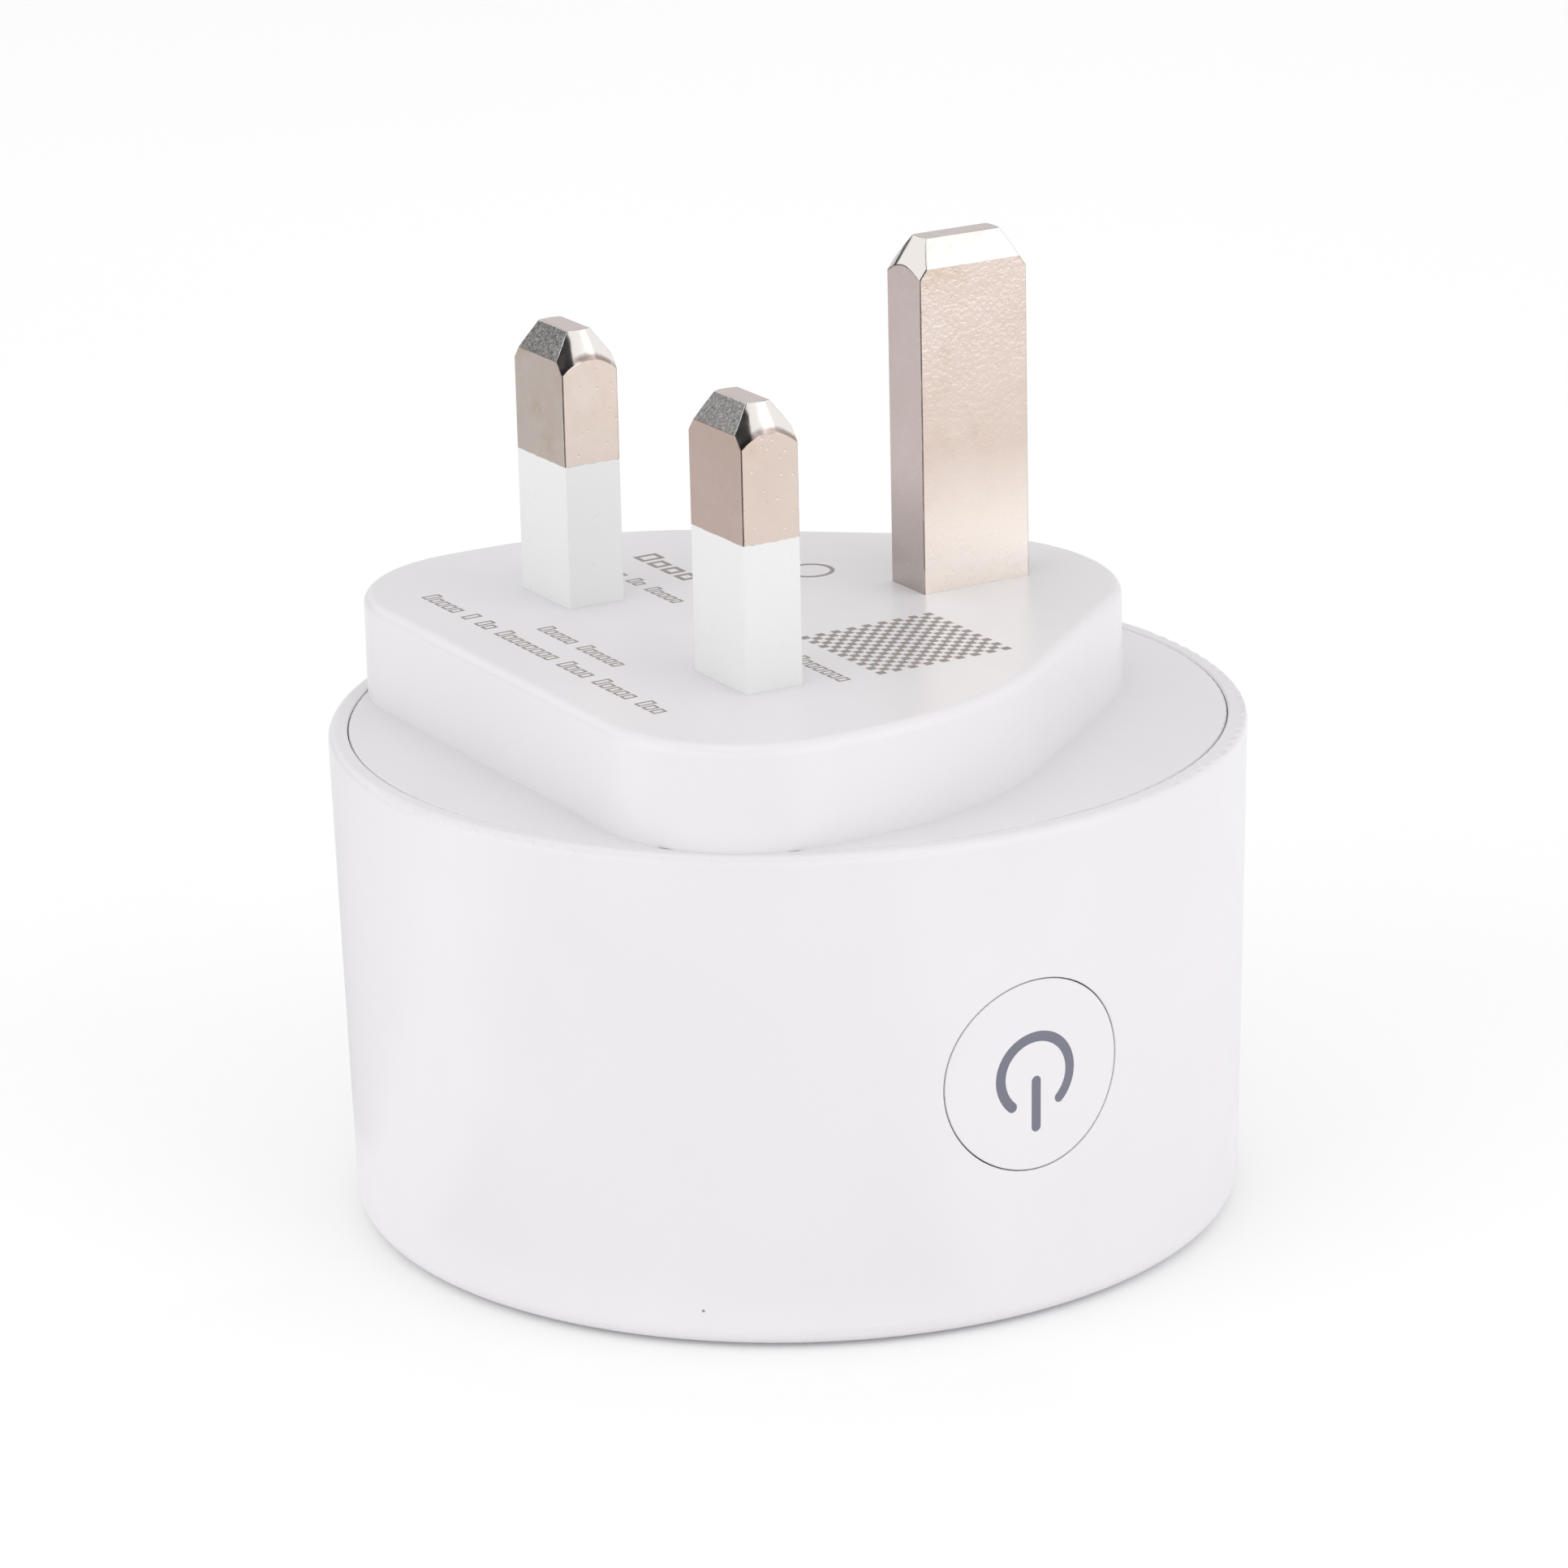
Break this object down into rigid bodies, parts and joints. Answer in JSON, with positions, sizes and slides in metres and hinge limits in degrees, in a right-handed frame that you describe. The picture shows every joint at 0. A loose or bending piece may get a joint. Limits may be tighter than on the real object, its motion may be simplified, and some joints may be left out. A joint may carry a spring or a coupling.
{
  "type": "smart plug",
  "caption": "Round white smart plug: rectangular plug pins on a raised shield-shaped base, shuttered socket on the far face, and a flush side button with a standby sign.",
  "frame": {"origin": "centre of the round socket face, on which the part stands", "axes": "+Z from the socket face towards the plug pins, +Y towards the earth pin, +X towards the neutral pin and the button"},
  "size_m": [0.0582, 0.0582, 0.0609],
  "materials": {
    "white_shell": "satin white moulded plastic, fine matt texture",
    "sleeve_white": "smooth white insulating nylon",
    "nickel_pin": "satin nickel plating with polished bevels",
    "icon_grey": "translucent grey diffuser",
    "grey_inner": "dark moulded nylon",
    "shutter_red": "moulded acetal",
    "spring_steel": "bright spring wire",
    "copper_alloy": "rolled phosphor bronze",
    "screw_steel": "zinc plated",
    "board_green": "solder mask over glass laminate",
    "board_black": "solder mask over glass laminate",
    "capacitor_sleeve": "shrink sleeve",
    "ferrite": "sintered ferrite",
    "varistor_blue": "dipped epoxy",
    "film_yellow": "moulded case",
    "resistor_body": "lacquered ceramic",
    "chip_black": "moulded epoxy",
    "shield_tin": "tin plated sheet",
    "gold_track": "gold flash over copper",
    "relay_blue": "moulded relay case",
    "coil_copper": "enamelled copper winding",
    "relay_iron": "zinc plated iron",
    "led_lens": "clear lens",
    "switch_black": "moulded nylon",
    "tinned_copper": "tinned copper"
  },
  "bodies": {
    "housing": {"main_shell": "white_shell", "socket_plate": "white_shell", "back_cover": "white_shell", "pin_retainer": "grey_inner", "retainer_screws": "screw_steel", "line_pin": "nickel_pin", "neutral_pin": "nickel_pin", "earth_pin": "nickel_pin", "line_pin_sleeve": "sleeve_white", "neutral_pin_sleeve": "sleeve_white", "shutter_spring": "spring_steel", "contact_carrier": "grey_inner", "carrier_screws": "screw_steel", "line_contact": "copper_alloy", "neutral_contact": "copper_alloy", "earth_contact": "copper_alloy", "earth_strap": "copper_alloy", "main_board": "board_green", "board_screws": "screw_steel", "line_feed_bar": "tinned_copper", "line_load_bar": "tinned_copper", "neutral_link": "tinned_copper", "mains_capacitors": "capacitor_sleeve", "output_capacitor": "capacitor_sleeve", "power_inductor": "ferrite", "varistor": "varistor_blue", "suppression_capacitor": "film_yellow", "fusible_resistor": "resistor_body", "bridge_rectifier": "chip_black", "power_chip": "chip_black", "metering_chip": "chip_black", "wifi_board": "board_black", "wifi_antenna": "gold_track", "wifi_shield": "shield_tin", "relay_case": "relay_blue", "relay_base": "relay_blue", "relay_coil": "coil_copper", "relay_yoke": "relay_iron", "relay_terminals": "copper_alloy", "switch_body": "switch_black", "button_board": "board_green", "status_leds": "led_lens", "board_header": "tinned_copper"},
    "button": {"button_cap": "white_shell", "power_icon": "icon_grey"},
    "switch_plunger": {"switch_plunger": "switch_black"},
    "shutter": {"shutter": "shutter_red"},
    "relay_armature": {"relay_armature": "relay_iron"}
  },
  "joints": [
    {"name": "button_press", "type": "slide", "parent": "housing", "child": "button", "axis": [-1, 0, 0], "range_m": [0, 0.0005], "stiffness_N_per_m": 3000, "springref_m": -0.0001},
    {"name": "switch_press", "type": "slide", "parent": "housing", "child": "switch_plunger", "axis": [-1, 0, 0], "range_m": [0, 0.0003]},
    {"name": "shutter_slide", "type": "slide", "parent": "housing", "child": "shutter", "axis": [0, -1, 0], "range_m": [0, 0.0062], "stiffness_N_per_m": 120, "springref_m": -0.003, "deforming": ["shutter_spring"]},
    {"name": "armature_tilt", "type": "hinge", "parent": "housing", "child": "relay_armature", "pos_m": [-0.0145, 0.0092, 0.0114], "axis": [-1, 0, 0], "range_deg": [0, 3.6], "stiffness_Nm_per_rad": 0.02, "springref_deg": -1.15}
  ],
  "couplings": [
    {"joint": "switch_press", "follows": "button_press", "ratio": 0.6}
  ]
}
